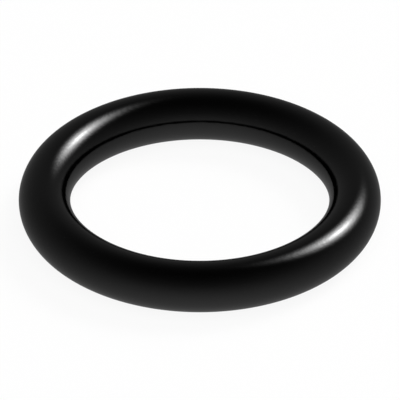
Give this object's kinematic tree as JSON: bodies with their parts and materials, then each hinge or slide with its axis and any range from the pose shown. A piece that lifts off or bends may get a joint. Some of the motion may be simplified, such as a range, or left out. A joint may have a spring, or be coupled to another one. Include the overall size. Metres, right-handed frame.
{
  "type": "o-ring",
  "caption": "Black rubber o-ring of round section, a one-piece static seal for a groove round a shaft, spigot or bore.",
  "frame": {"origin": "centre of the ring, on its axis and halfway up its height", "axes": "+Z along the ring's axis, the ring lying flat in the XY plane; X and Y are free, because the ring is round"},
  "size_m": [0.035, 0.035, 0.005],
  "materials": {
    "black_rubber": "smooth moulded, semi-gloss"
  },
  "bodies": {
    "root": {"o_ring": "black_rubber"}
  },
  "joints": []
}
